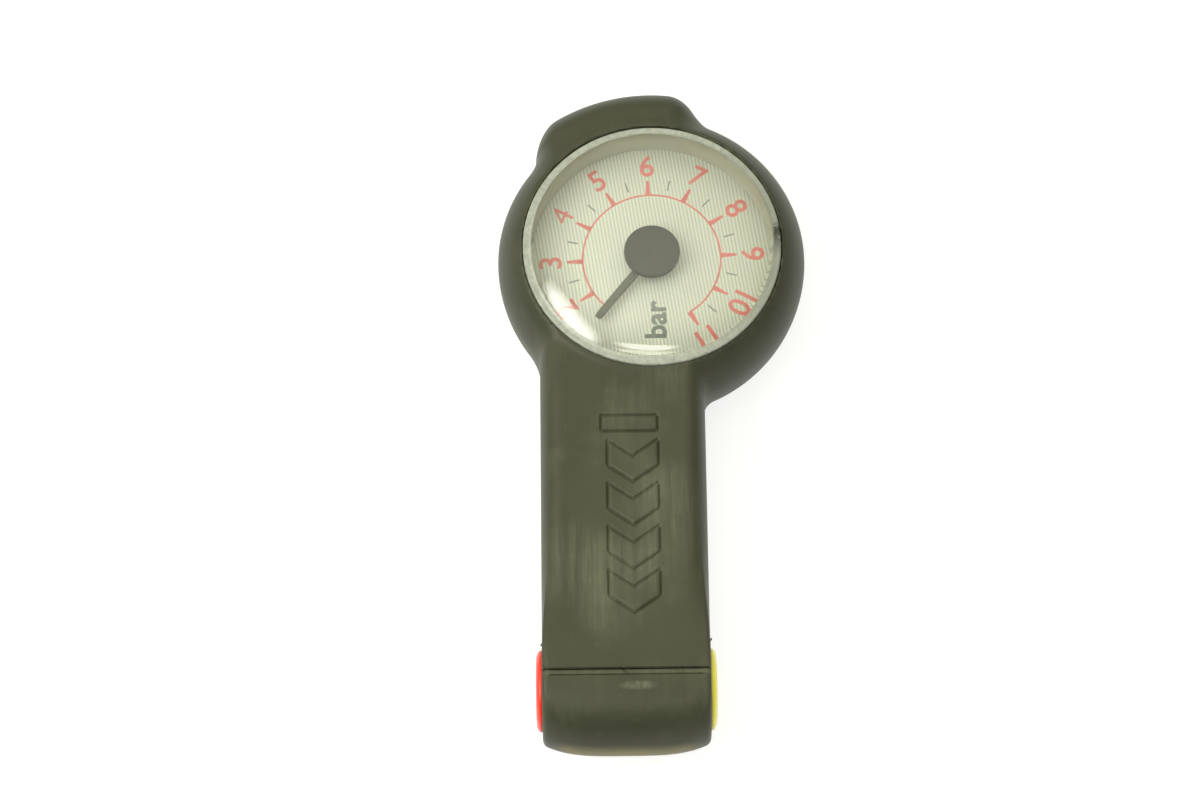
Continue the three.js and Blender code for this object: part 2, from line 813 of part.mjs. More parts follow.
const barrel = new THREE.Group();
barrel.position.set(BARREL_X, BARREL_Y, BARREL_Z);
add(barrel, "valve_block", block, caseBlack);
add(barrel, "shuttle_ball", shuttle, pomWhite);
const right = new THREE.Group();
add(right, "schrader_pin", openingPin(1.3, 0.7, 6.6), brass);
add(right, "schrader_grommet", grommet(3.85), sealRubber);
add(right, "schrader_collar", collar(4.25, 4.9), portYellow);
barrel.add(right);
const left = new THREE.Group();
left.rotation.z = Math.PI;
add(left, "presta_pin", openingPin(1.7, 0.9, 6.0), brass);
add(left, "presta_grommet", grommet(3.0), sealRubber);
add(left, "presta_collar", collar(3.4, 4.6), portRed);
barrel.add(left);
gauge.add(barrel);

export default gauge;
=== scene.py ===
import math
import bpy
import bmesh
import numpy as np
from mathutils import Matrix, Vector


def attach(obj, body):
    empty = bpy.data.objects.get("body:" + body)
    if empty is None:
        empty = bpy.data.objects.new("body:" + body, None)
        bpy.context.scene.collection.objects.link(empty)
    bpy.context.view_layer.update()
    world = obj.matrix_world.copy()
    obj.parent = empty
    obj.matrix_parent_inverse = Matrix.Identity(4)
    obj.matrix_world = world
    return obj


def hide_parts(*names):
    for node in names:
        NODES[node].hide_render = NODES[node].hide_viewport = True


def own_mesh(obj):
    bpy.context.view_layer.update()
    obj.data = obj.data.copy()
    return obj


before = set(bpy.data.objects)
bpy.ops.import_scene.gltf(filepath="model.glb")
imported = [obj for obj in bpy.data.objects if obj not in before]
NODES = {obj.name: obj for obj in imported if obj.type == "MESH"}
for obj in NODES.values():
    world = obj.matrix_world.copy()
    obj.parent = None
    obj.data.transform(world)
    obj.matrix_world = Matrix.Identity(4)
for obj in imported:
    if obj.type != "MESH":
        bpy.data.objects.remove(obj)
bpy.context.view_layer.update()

MM = 0.001
scene = bpy.context.scene

# ------------------------------------------------------------------ camera
EL = math.radians(68.559)
ROLL = math.radians(-0.717)
back = Vector((0, -math.cos(EL), math.sin(EL)))
target = Vector((-8.267, -18.341, 0)) * MM
right = (-back).cross(Vector((0, 0, 1))).normalized()
up = right.cross(-back)
r2 = right * math.cos(ROLL) + up * math.sin(ROLL)
u2 = -right * math.sin(ROLL) + up * math.cos(ROLL)
cam = bpy.data.cameras.new("camera")
cam.sensor_width = 36
cam.lens = 4174 / 1200 * 36
cam.clip_start = 0.02
cam.clip_end = 50
camera = bpy.data.objects.new("camera", cam)
scene.collection.objects.link(camera)
pos = target + back * 0.650
camera.matrix_world = Matrix(
    (
        (r2.x, u2.x, back.x, pos.x),
        (r2.y, u2.y, back.y, pos.y),
        (r2.z, u2.z, back.z, pos.z),
        (0, 0, 0, 1),
    )
)
scene.camera = camera

# ------------------------------------------------------------------ dimensions, mm
HEAD_R = 23.75
CROWN_R = 28.05
SIDE_L, SIDE_R = -17.4, 7.7
BAR_X = (SIDE_L + SIDE_R) / 2
HALF = (SIDE_R - SIDE_L) / 2
THICK = 17.0
BAR_Y, BAR_Z = -68.6, 8.5
SEAM = -67.75
LENS_R = 19.85
DIAL_Z = 12.0
ROD_X, ROD_Z = -5.2, 8.5
REST = 230.9


def smooth(x, a, b):
    t = np.clip((x - a) / (b - a), 0, 1)
    return t * t * (3 - 2 * t)


def round_union(a, b, r):
    u = np.maximum(r - a, 0)
    v = np.maximum(r - b, 0)
    return np.maximum(r, np.minimum(a, b)) - np.sqrt(u * u + v * v)


def round_inter(a, b, r):
    u = np.maximum(r + a, 0)
    v = np.maximum(r + b, 0)
    return np.minimum(-r, np.maximum(a, b)) + np.sqrt(u * u + v * v)


class Profile:
    """Signed distance to an edge shape, given as the outline's offset at each height, looked up from a table."""

    D = np.arange(-8, 8.01, 0.05)
    Z = np.arange(-3, 21.01, 0.05)

    def __init__(self, top, edge):
        z = np.linspace(0, top, 241)
        z = top * (1 - np.cos(np.pi * z / top)) / 2
        d = edge(z)
        pts = np.concatenate(
            [[[-12, 0]], np.stack([d, z], 1), [[-12, top]]]
        )
        a, b = pts[:-1], pts[1:]
        gd, gz = np.meshgrid(self.D, self.Z, indexing="ij")
        best = np.full(gd.shape, 1e9)
        for p, q in zip(a, b):
            e = q - p
            n = float(e @ e)
            if n < 1e-12:
                continue
            t = np.clip(((gd - p[0]) * e[0] + (gz - p[1]) * e[1]) / n, 0, 1)
            best = np.minimum(
                best, (gd - p[0] - t * e[0]) ** 2 + (gz - p[1] - t * e[1]) ** 2
            )
        inside = (gz > 0) & (gz < top) & (gd < np.interp(gz, z, d))
        self.table = np.sqrt(best) * np.where(inside, -1, 1)

    def __call__(self, d, z):
        i = (np.clip(d, -7.99, 7.99) + 8) / 0.05
        j = (np.clip(z, -2.99, 20.99) + 3) / 0.05
        i0 = np.clip(i.astype(int), 0, len(self.D) - 2)
        j0 = np.clip(j.astype(int), 0, len(self.Z) - 2)
        fi, fj = i - i0, j - j0
        t = self.table
        v = (
            t[i0, j0] * (1 - fi) * (1 - fj)
            + t[i0 + 1, j0] * fi * (1 - fj)
            + t[i0, j0 + 1] * (1 - fi) * fj
            + t[i0 + 1, j0 + 1] * fi * fj
        )
        return v + np.maximum(d - 7.99, 0)


def sup(t, p):
    return 1 - (1 - np.clip(t, 0, 1) ** p) ** (1 / p)


def head_edge(z):
    rho = 9.58
    upper = -rho + np.sqrt(np.maximum(rho * rho - (z - 10) ** 2, 0))
    lower = -5.4 * sup((10 - z) / 10.8, 2.0)
    return np.where(z > 10, upper, lower)


def bar_edge(w, h, wb=3.0, hb=4.6):
    def edge(z):
        return -w * sup((z - (THICK - h)) / h, 2.1) - wb * sup((hb - z) / (hb + 0.45), 2.0)

    return edge


P_HEAD = Profile(17.6, head_edge)
P_BAR = Profile(THICK, bar_edge(3.3, 4.6))
P_CROWN = Profile(THICK, bar_edge(5.6, 7.4, 3.6, 5.5))


def plan(x, y):
    head = np.hypot(x + 0.06, y - 0.18) - HEAD_R
    west = SIDE_L - 0.45 * smooth(y, 8, 15)
    bar = round_inter(west - x, np.hypot(x, np.maximum(y, 0)) - CROWN_R, 3.2)
    bar = round_inter(bar, x - SIDE_R - 0.3 * smooth(y, 8, 15), 5.2)
    return head, bar


def barrel(x, y, z):
    """Slab over the handle, half round past the barrel's axis, with a crowned end."""
    xx = np.abs((x - BAR_X) / HALF)
    reach = 8.0 + 1.9 * (1 - np.clip(xx, 0, 1.1) ** 3.6)
    yy = np.minimum(y - BAR_Y, 0) / reach
    zz = (z - BAR_Z) / 8.5
    return (np.sqrt(yy * yy + zz * zz) - 1) * 8.5


def outer(x, y, z):
    head, bar = plan(x, y)
    a = P_HEAD(head, z)
    pb = P_BAR(bar, z)
    pc = P_CROWN(bar, z)
    w = smooth(y, 2, 16)
    b = pb * (1 - w) + pc * w
    sharp = round_inter(bar, barrel(x, y, z), 0.7)
    w = smooth(-y, 46, 66)
    b = b * (1 - w) + sharp * w
    north = smooth(y, 4, 14)
    side = 1.6 + north * (1.5 * smooth(x, -4, 6) - 1.0)
    top = 0.7 + 1.2 * north
    r = top + (side - top) * (1 - smooth(z, 9.0, 16.5))
    f = round_union(a, b, r)
    return round_inter(f, -z, 0.35)


def cavity(x, y, z):
    head, bar = plan(x, y)
    d = round_union(head, bar, 3.4)
    wall = 2.0 + 1.5 * np.clip((z - 12) / 3, 0, 1)
    return np.maximum(np.maximum(d + wall, 2 - z), z - 15)


def f_sleeve(x, y, z):
    rho = np.hypot(x, y)
    skin = outer(x, y, z)
    f = round_inter(skin, np.minimum(19.93 - rho, z - 13.5), 0.38)
    f = np.maximum(f, 6.0 - np.hypot(y - BAR_Y, z - BAR_Z))
    return np.maximum(f, -np.maximum(cavity(x, y, z), skin + 0.9))


def f_boot(x, y, z):
    f = outer(x, y, z)
    r = np.hypot(y - BAR_Y, z - BAR_Z)
    f = np.maximum(f, -np.maximum(r - 6.46, np.abs(x - BAR_X) - 10.46))
    return np.maximum(f, 6.0 - r)


# ------------------------------------------------------------------ surface nets
def surface(f, lo, hi, h, steps=4):
    n = [int(math.ceil((b - a) / h)) + 1 for a, b in zip(lo, hi)]
    ax = [lo[i] + h * np.arange(n[i]) for i in range(3)]
    vals = np.empty(n)
    for i0 in range(0, n[0], 16):
        g = np.meshgrid(ax[0][i0 : i0 + 16], ax[1], ax[2], indexing="ij")
        vals[i0 : i0 + 16] = f(*g)
    vals += (vals == 0) * 1e-9
    s = vals < 0
    c = [m - 1 for m in n]
    corner = [(i, j, k) for i in (0, 1) for j in (0, 1) for k in (0, 1)]
    total = sum(
        s[i : i + c[0], j : j + c[1], k : k + c[2]].astype(np.int8)
        for i, j, k in corner
    )
    active = (total > 0) & (total < 8)
    index = np.full(c, -1, dtype=np.int64)
    cells = np.argwhere(active)
    index[active] = np.arange(len(cells))
    acc = np.zeros((len(cells), 3))
    cnt = np.zeros(len(cells))
    for p in corner:
        for axis in range(3):
            if p[axis]:
                continue
            q = list(p)
            q[axis] = 1
            va = vals[cells[:, 0] + p[0], cells[:, 1] + p[1], cells[:, 2] + p[2]]
            vb = vals[cells[:, 0] + q[0], cells[:, 1] + q[1], cells[:, 2] + q[2]]
            m = (va < 0) != (vb < 0)
            t = np.where(m, va / np.where(m, va - vb, 1), 0)
            pt = np.array(p, float)[None, :] + np.zeros((len(cells), 3))
            pt[:, axis] += t
            acc[m] += pt[m]
            cnt[m] += 1
    v = np.array(lo)[None, :] + h * (cells + acc / cnt[:, None])
    for _ in range(steps):
        e = 0.04
        f0 = f(v[:, 0], v[:, 1], v[:, 2])
        g = np.stack(
            [
                (
                    f(*(v + e * np.eye(3)[i]).T) - f(*(v - e * np.eye(3)[i]).T)
                )
                / (2 * e)
                for i in range(3)
            ],
            1,
        )
        move = -(f0 / np.maximum((g * g).sum(1), 0.2))[:, None] * g
        length = np.linalg.norm(move, axis=1)
        move *= np.minimum(1, 0.45 * h / np.maximum(length, 1e-9))[:, None]
        v = v + move
    quads = []
    for axis in range(3):
        a1, a2 = (axis + 1) % 3, (axis + 2) % 3
        sl0 = [slice(None)] * 3
        sl1 = [slice(None)] * 3
        sl0[axis] = slice(0, n[axis] - 1)
        sl1[axis] = slice(1, n[axis])
        sa, sb = s[tuple(sl0)], s[tuple(sl1)]
        e = np.argwhere(sa != sb)
        e = e[(e[:, a1] > 0) & (e[:, a2] > 0) & (e[:, a1] < c[a1]) & (e[:, a2] < c[a2])]
        flip = sa[e[:, 0], e[:, 1], e[:, 2]]
        u1 = np.zeros(3, int)
        u1[a1] = 1
        u2_ = np.zeros(3, int)
        u2_[a2] = 1
        ids = [
            index[tuple((e - o).T)] for o in (u1 * 0, u1, u1 + u2_, u2_)
        ]
        q = np.stack(ids, 1)
        q[~flip] = q[~flip][:, ::-1]
        quads.append(q)
    return v, np.concatenate(quads)


# ------------------------------------------------------------------ mesh helpers
def finish_mesh(ob, angle=40, smooth_shade=True):
    me = ob.data
    me.validate()
    if smooth_shade:
        for p in me.polygons:
            p.use_smooth = True
        me.set_sharp_from_angle(angle=math.radians(angle))


def new_object(name, verts, faces, material, body="housing", slot=None, stands_for=(), angle=40, scale=MM):
    me = bpy.data.meshes.new(name)
    v = np.asarray(verts, float) * scale
    me.from_pydata(v.tolist(), [], [list(map(int, f)) for f in faces])
    ob = bpy.data.objects.new(name, me)
    scene.collection.objects.link(ob)
    me.materials.append(material)
    finish_mesh(ob, angle)
    if body:
        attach(ob, body)
        if stands_for:
            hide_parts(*stands_for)
    return ob


def from_bmesh(bm, name, material, body="housing", slot=None, stands_for=(), angle=40):
    bmesh.ops.recalc_face_normals(bm, faces=bm.faces)
    me = bpy.data.meshes.new(name)
    bm.to_mesh(me)
    bm.free()
    ob = bpy.data.objects.new(name, me)
    scene.collection.objects.link(ob)
    me.materials.append(material)
    finish_mesh(ob, angle)
    if body:
        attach(ob, body)
        if stands_for:
            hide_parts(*stands_for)
    return ob


def lathe(profile, segments=160):
    """Turned body about +Z from [radius, height] pairs: open on the axis, or closed on itself."""
    prof = [tuple(map(float, p)) for p in profile]
    closed = prof[0][0] > 1e-6
    verts, rings = [], []
    for r, z in prof:
        if r < 1e-6:
            rings.append([len(verts)])
            verts.append((0, 0, z))
        else:
            rings.append(list(range(len(verts), len(verts) + segments)))
            for i in range(segments):
                a = 2 * math.pi * i / segments
                verts.append((r * math.cos(a), r * math.sin(a), z))
    faces = []
    pairs = list(zip(rings, rings[1:]))
    if closed:
        pairs.append((rings[-1], rings[0]))
    for a, b in pairs:
        for i in range(segments):
            j = (i + 1) % segments
            if len(a) == 1 and len(b) == 1:
                continue
            if len(a) == 1:
                faces.append((a[0], b[j], b[i]))
            elif len(b) == 1:
                faces.append((a[i], a[j], b[0]))
            else:
                faces.append((a[i], a[j], b[j], b[i]))
    return verts, faces


def lathe_object(name, profile, material, place=None, segments=160, **kw):
    v, f = lathe(profile, segments)
    bm = bmesh.new()
    vs = [bm.verts.new(Vector(p) * MM) for p in v]
    for q in f:
        bm.faces.new([vs[i] for i in q])
    bm.verts.ensure_lookup_table()
    if place is not None:
        bmesh.ops.transform(bm, matrix=place, verts=bm.verts)
    return from_bmesh(bm, name, material, **kw)


def arc_points(cx, cz, r, a0, a1, n):
    return [
        (cx + r * math.cos(math.radians(a0 + (a1 - a0) * i / n)), cz + r * math.sin(math.radians(a0 + (a1 - a0) * i / n)))
        for i in range(n + 1)
    ]


# ------------------------------------------------------------------ materials
class Mat:
    """A small wrapper for building node materials."""

    def __init__(self, name):
        self.m = bpy.data.materials.new(name)
        self.m.use_nodes = True
        self.t = self.m.node_tree
        self.b = self.t.nodes["Principled BSDF"]
        self.coord = self.node("ShaderNodeTexCoord").outputs["Object"]

    def node(self, kind, **attrs):
        n = self.t.nodes.new(kind)
        for k, v in attrs.items():
            setattr(n, k, v)
        return n

    def link(self, a, b):
        self.t.links.new(a, b)

    def put(self, node, name, value):
        s = node.inputs[name]
        if hasattr(value, "node"):
            self.link(value, s)
        else:
            s.default_value = value

    def math(self, op, a, b=0.0, clamp=False):
        n = self.node("ShaderNodeMath", operation=op, use_clamp=clamp)
        self.put(n, 0, a)
        self.put(n, 1, b)
        return n.outputs[0]

    def ramp(self, value, stops):
        n = self.node("ShaderNodeValToRGB")
        self.link(value, n.inputs[0])
        e = n.color_ramp.elements
        while len(e) < len(stops):
            e.new(0.5)
        for el, (p, c) in zip(e, stops):
            el.position = p
            el.color = (*c, 1) if len(c) == 3 else c
        return n.outputs[0]

    def fac(self, value, a, b):
        n = self.node("ShaderNodeMapRange")
        self.put(n, "Value", value)
        n.inputs["From Min"].default_value = a
        n.inputs["From Max"].default_value = b
        return n.outputs[0]

    def scale(self, value, lo, hi):
        n = self.node("ShaderNodeMapRange")
        self.put(n, "Value", value)
        n.inputs["To Min"].default_value = lo
        n.inputs["To Max"].default_value = hi
        return n.outputs[0]

    def mapping(self, scale=(1, 1, 1), rot=(0, 0, 0), loc=(0, 0, 0)):
        n = self.node("ShaderNodeMapping")
        self.link(self.coord, n.inputs["Vector"])
        n.inputs["Scale"].default_value = scale
        n.inputs["Rotation"].default_value = rot
        n.inputs["Location"].default_value = loc
        return n.outputs[0]

    def noise(self, vec, scale, detail=3, rough=0.5):
        n = self.node("ShaderNodeTexNoise")
        self.link(vec, n.inputs["Vector"])
        n.inputs["Scale"].default_value = scale
        n.inputs["Detail"].default_value = detail
        n.inputs["Roughness"].default_value = rough
        return n.outputs["Fac"]

    def mix(self, fac, a, b):
        n = self.node("ShaderNodeMix", data_type="RGBA")
        self.put(n, "Factor", fac)
        for name, v in (("A", a), ("B", b)):
            s = [i for i in n.inputs if i.name == name and i.type == "RGBA"][0]
            if hasattr(v, "node"):
                self.link(v, s)
            else:
                s.default_value = (*v, 1) if len(v) == 3 else v
        return [o for o in n.outputs if o.type == "RGBA"][0]

    def bump(self, height, strength, distance, normal=None):
        n = self.node("ShaderNodeBump")
        self.link(height, n.inputs["Height"])
        n.inputs["Strength"].default_value = strength
        n.inputs["Distance"].default_value = distance
        if normal is not None:
            self.link(normal, n.inputs["Normal"])
        return n.outputs[0]

    def set(self, **kw):
        for k, v in kw.items():
            self.put(self.b, k.replace("_", " "), v if not isinstance(v, tuple) or len(v) != 3 else (*v, 1))
        return self


def rubber(name, base, dust, dark):
    m = Mat(name)
    wide = m.noise(m.mapping(), 60, 4, 0.6)
    streak = m.noise(m.mapping(scale=(1100, 80, 500)), 1.0, 4, 0.65)
    fine = m.noise(m.mapping(), 3000, 2, 0.6)
    spots = m.noise(m.mapping(scale=(700, 330, 700)), 1.0, 3, 0.7)
    patch = m.noise(m.mapping(loc=(0.3, 0.1, 0)), 70, 4, 0.6)
    # dust that has stayed round the moulded marks and on the seam
    sep = m.node("ShaderNodeSeparateXYZ")
    m.link(m.coord, sep.inputs[0])
    X, Y, Z = sep.outputs
    dx = m.math("DIVIDE", m.math("ADD", X, 0.0040), 0.0085)
    dy = m.math("DIVIDE", m.math("ADD", Y, 0.0455), 0.0215)
    rr = m.math("ADD", m.math("MULTIPLY", dx, dx), m.math("MULTIPLY", dy, dy))
    halo = m.math("MULTIPLY", m.fac(rr, 1.3, 0.3), m.scale(m.fac(patch, 0.38, 0.64), 0.12, 0.55))
    d = m.math("MULTIPLY", m.fac(patch, 0.46, 0.74), m.fac(streak, 0.35, 0.80))
    d = m.math("ADD", d, m.math("MULTIPLY", m.fac(spots, 0.66, 0.80), 0.30))
    d = m.math("ADD", d, m.math("MULTIPLY", halo, m.scale(m.fac(streak, 0.25, 0.75), 0.45, 1.0)), clamp=True)
    ex = m.math("DIVIDE", m.math("ADD", X, 0.0030), 0.0030)
    ey = m.math("DIVIDE", m.math("ADD", Y, 0.0704), 0.0007)
    smudge = m.fac(m.math("ADD", m.math("MULTIPLY", ex, ex), m.math("MULTIPLY", ey, ey)), 1.2, 0.1)
    d = m.math("ADD", d, m.math("MULTIPLY", smudge, m.fac(spots, 0.35, 0.6)), clamp=True)
    strip = m.math("MULTIPLY", m.fac(Y, -0.06800, -0.06815), m.fac(Y, -0.06885, -0.06865))
    strip = m.math("MULTIPLY", strip, m.fac(streak, 0.25, 0.6))
    d = m.math("ADD", d, m.math("MULTIPLY", strip, 0.45), clamp=True)
    col = m.mix(m.fac(wide, 0.3, 0.7), dark, base)
    col = m.mix(m.math("MULTIPLY", d, 0.85), col, dust)
    # painted floor bounce light: the lower part of the barrel's end is painted a paler, yellower tone
    end = m.math("MULTIPLY", m.fac(Y, -0.0765, -0.0777), m.fac(Z, 0.0112, 0.0094))
    end = m.math("MULTIPLY", end, m.fac(Z, 0.0050, 0.0068))
    end = m.math("MULTIPLY", end, m.fac(m.math("ABSOLUTE", m.math("ADD", X, 0.00485)), 0.0112, 0.0085))
    end = m.math("MULTIPLY", end, m.scale(m.fac(patch, 0.3, 0.6), 0.55, 1.0))
    col = m.mix(end, col, (0.180, 0.155, 0.055))
    m.set(Base_Color=col)
    rough = m.math("ADD", m.scale(wide, 0.40, 0.50), m.math("MULTIPLY", d, 0.25))
    m.put(m.b, "Roughness", rough)
    n = m.bump(fine, 0.22, 0.00004)
    n = m.bump(streak, 0.05, 0.00004, n)
    m.put(m.b, "Normal", n)
    m.b.inputs["Specular IOR Level"].default_value = 0.34
    m.b.inputs["IOR"].default_value = 1.5
    m.b.inputs["Specular Tint"].default_value = (1.0, 1.0, 0.88, 1)
    return m.m


def plastic(name, colour, rough=0.35, grain=900, tint=0.12, bump=0.00003, subsurface=0.0):
    m = Mat(name)
    a = m.noise(m.mapping(), 160, 3)
    b = m.noise(m.mapping(), grain, 3)
    dark = tuple(c * (1 - tint) for c in colour)
    lite = tuple(min(1, c * (1 + tint * 0.6)) for c in colour)
    m.set(Base_Color=m.mix(a, dark, lite))
    m.put(m.b, "Roughness", m.scale(b, rough - 0.07, rough + 0.09))
    m.put(m.b, "Normal", m.bump(b, 0.25, bump))
    return m.m


def metal(name, colour, rough=0.3, axis=2, stretch=40):
    m = Mat(name)
    s = [1400.0] * 3
    s[axis] = 1400.0 / stretch
    lines = m.noise(m.mapping(scale=tuple(s)), 1.0, 3)
    wide = m.noise(m.mapping(), 250, 3)
    m.set(Base_Color=m.mix(wide, tuple(c * 0.85 for c in colour), colour))
    m.b.inputs["Metallic"].default_value = 1.0
    m.put(m.b, "Roughness", m.scale(lines, rough - 0.08, rough + 0.14))
    m.put(m.b, "Normal", m.bump(lines, 0.2, 0.00002))
    return m.m


def weave(m):
    """0 to 1 cloth pattern: slanted lines crossed by a fine row of dots."""
    v = m.mapping(rot=(0, 0, math.radians(-8.5)))
    sep = m.node("ShaderNodeSeparateXYZ")
    m.link(v, sep.inputs[0])
    k1 = 2 * math.pi / 0.00054
    k2 = 2 * math.pi / 0.00029
    a = m.math("SINE", m.math("MULTIPLY", sep.outputs[0], k1))
    half = m.math("SINE", m.math("MULTIPLY", sep.outputs[0], k1 / 2))
    sign = m.math("MULTIPLY", m.math("SIGN", half), math.pi / 2)
    b = m.math("SINE", m.math("ADD", m.math("MULTIPLY", sep.outputs[1], k2), sign))
    lines = m.fac(a, -0.1, 0.9)
    dots = m.fac(b, -0.9, 0.9)
    return m.math("MULTIPLY", lines, m.scale(dots, 0.12, 1.0))


def printed(name, colour, paper, strength):
    m = Mat(name)
    w = weave(m)
    blot = m.noise(m.mapping(), 900, 3)
    ink = m.mix(m.scale(blot, 0.0, 0.30), colour, paper)
    m.set(Base_Color=m.mix(m.math("MULTIPLY", w, strength), ink, tuple(c * 0.50 for c in paper)))
    m.put(m.b, "Roughness", m.scale(blot, 0.5, 0.7))
    m.put(m.b, "Normal", m.bump(w, 0.3, 0.00004))
    return m.m


RUBBER = rubber("rubber_black", (0.0420, 0.0445, 0.0262), (0.120, 0.125, 0.081), (0.033, 0.035, 0.019))
PAPER = (0.81, 0.83, 0.73)
DIAL = printed("dial_card", PAPER, PAPER, 1.0)
INK_RED = printed("print_red", (0.80, 0.085, 0.075), PAPER, 0.35)
INK_DARK = printed("print_dark", (0.10, 0.13, 0.11), PAPER, 0.30)
NEEDLE = plastic("needle_black", (0.115, 0.120, 0.085), 0.50, 1200, 0.25)
HUB = plastic("hub_black", (0.048, 0.051, 0.033), 0.55, 500, 0.45)
RING = plastic("ring_beige", (0.62, 0.62, 0.50), 0.5, 1200, 0.06)
RED = plastic("port_red", (0.92, 0.036, 0.010), 0.30, 700, 0.08)
YELLOW = plastic("port_yellow", (0.92, 0.84, 0.10), 0.32, 700, 0.08)
CASE = plastic("case_black", (0.030, 0.031, 0.027), 0.45, 1500)
SEAL = plastic("seal_rubber", (0.016, 0.016, 0.015), 0.6, 2000)
ACETAL = plastic("acetal_white", (0.74, 0.73, 0.68), 0.4, 900, 0.05)
BRASS = metal("brass_turned", (0.78, 0.57, 0.26), 0.28)
STEEL = metal("steel_plain", (0.62, 0.63, 0.64), 0.27)
ALU = metal("aluminium_tube", (0.76, 0.77, 0.78), 0.3, axis=1)

lens_mat = Mat("clear_lens")
scuff = lens_mat.noise(lens_mat.mapping(), 300, 4)
lens_mat.set(Base_Color=(0.985, 0.99, 0.965))
lens_mat.b.inputs["Transmission Weight"].default_value = 1.0
lens_mat.b.inputs["IOR"].default_value = 1.47
lens_mat.put(lens_mat.b, "Roughness", lens_mat.scale(scuff, 0.0, 0.05))
lens_mat.put(lens_mat.b, "Normal", lens_mat.bump(scuff, 0.03, 0.0001))
LENS = lens_mat.m
frost = Mat("lens_edge")
grain = frost.noise(frost.mapping(), 1400, 4, 0.6)
tone = frost.mix(frost.fac(grain, 0.36, 0.62), (0.36, 0.38, 0.32), (0.50, 0.52, 0.45))
fsep = frost.node("ShaderNodeSeparateXYZ")
frost.link(frost.coord, fsep.inputs[0])
# the rim is darker on the east side, with a chip in it
east = frost.math("MULTIPLY", frost.fac(fsep.outputs[0], 0.010, 0.019), frost.scale(grain, 0.2, 0.8))
tone = frost.mix(east, tone, (0.20, 0.21, 0.16))
chip = frost.math("MULTIPLY", frost.fac(fsep.outputs[0], 0.0185, 0.0189), frost.fac(fsep.outputs[1], -0.0022, 0.0016))
chip = frost.math("MULTIPLY", chip, frost.fac(fsep.outputs[1], 0.0038, 0.0028))
chip = frost.math("MULTIPLY", chip, frost.fac(grain, 0.30, 0.48))
tone = frost.mix(chip, tone, (0.035, 0.037, 0.028))
frost.set(Base_Color=tone)
frost.b.inputs["Transmission Weight"].default_value = 0.3
frost.b.inputs["IOR"].default_value = 1.47
frost.put(frost.b, "Roughness", frost.scale(grain, 0.25, 0.45))
frost.put(frost.b, "Normal", frost.bump(grain, 0.2, 0.00004))
FROST = frost.m

# ------------------------------------------------------------------ CAD nodes that stay
for names, material in (
    (("case_rear", "case_front", "valve_block"), CASE),
    (("case_screw_1", "case_screw_2", "case_screw_3", "case_screw_4", "movement_bridge", "bridge_screw_1", "bridge_screw_2"), STEEL),
    (("rear_bush", "front_bush", "pinion_shaft", "cylinder_gland", "schrader_pin", "presta_pin"), BRASS),
    (("rack_guide", "piston", "rack_rod", "shuttle_ball"), ACETAL),
    (("cylinder_oring", "piston_seal"), SEAL),
    (("cylinder_tube",), ALU),
):
    for n in names:
        ob = NODES[n]
        ob.data.materials.clear()
        ob.data.materials.append(material)

# ------------------------------------------------------------------ rubber sleeve and end boot
H = 0.4


# Moulded marks on the handle's flat: four plain shapes in a column, each drawn as a thin groove.
def mark_field(x, y):
    """Distance from the nearest mark outline, negative inside a mark."""
    cx = -3.4

    def rbox(bx, by, hx, hy, r):
        qx = np.abs(x - bx) - hx + r
        qy = np.abs(y - by) - hy + r
        return np.hypot(np.maximum(qx, 0), np.maximum(qy, 0)) + np.minimum(np.maximum(qx, qy), 0) - r

    def chevron(by, half, rise, thick):
        # a broad V pointing towards the ports, ends cut square to the handle
        k = rise / half
        line = (y - by) - k * np.abs(x - cx)
        d = np.abs(line) / math.hypot(1, k) - thick
        return round_inter(d, np.abs(x - cx) - half, 0.35)

    d = rbox(cx - 0.5, -29.0, 4.3, 1.3, 0.3)
    for by in (-36.4, -43.3, -50.2, -57.1):
        d = np.minimum(d, chevron(by, 3.9, 2.7, 1.75))
    return d


def cut_piece(v, q, y_keep_above=None, y_keep_below=None):
    bm = bmesh.new()
    me = bpy.data.meshes.new("tmp")
    me.from_pydata((v * MM).tolist(), [], q.tolist())
    bm.from_mesh(me)
    bpy.data.meshes.remove(me)
    y, no = (y_keep_above, (0, -1, 0)) if y_keep_above is not None else (y_keep_below, (0, 1, 0))
    bmesh.ops.bisect_plane(
        bm,
        geom=bm.verts[:] + bm.edges[:] + bm.faces[:],
        dist=1e-8,
        plane_co=(0, y * MM, 0),
        plane_no=no,
        clear_outer=True,
        clear_inner=False,
    )
    edges = [e for e in bm.edges if e.is_boundary]
    bmesh.ops.triangle_fill(bm, use_beauty=True, use_dissolve=False, edges=edges)
    bmesh.ops.remove_doubles(bm, verts=bm.verts, dist=1e-7)
    return bm


def round_lip(bm, seam, steps, sign):
    """Eases the outside edge at the seam: loops close to it are pulled in along the surface normal."""
    for off, _ in steps[1:]:
        bmesh.ops.bisect_plane(
            bm,
            geom=bm.verts[:] + bm.edges[:] + bm.faces[:],
            dist=1e-9,
            plane_co=(0, (seam + sign * off) * MM, 0),
            plane_no=(0, 1, 0),
        )
    bm.normal_update()
    for off, depth in steps:
        y = seam + sign * off
        for v in bm.verts:
            c = v.co / MM
            if abs(c.y - y) < 1e-3 and c.z > 1.0:
                # only the outer surface: one millimetre in, the solid is still there
                if abs(outer(np.array([c.x]), np.array([c.y]), np.array([c.z]))[0]) < 0.08:
                    n = Vector((c.x - BAR_X, 0, c.z - BAR_Z))
                    side = max(abs(c.x - BAR_X) - (HALF - 2.0), 0) / 2.0
                    n = Vector((math.copysign(1, c.x - BAR_X) * min(side, 1), 0, 1 - min(side, 1) * 0.6)) if c.z > 12 else Vector((math.copysign(1, c.x - BAR_X), 0, 0))
                    v.co -= n.normalized() * depth * MM


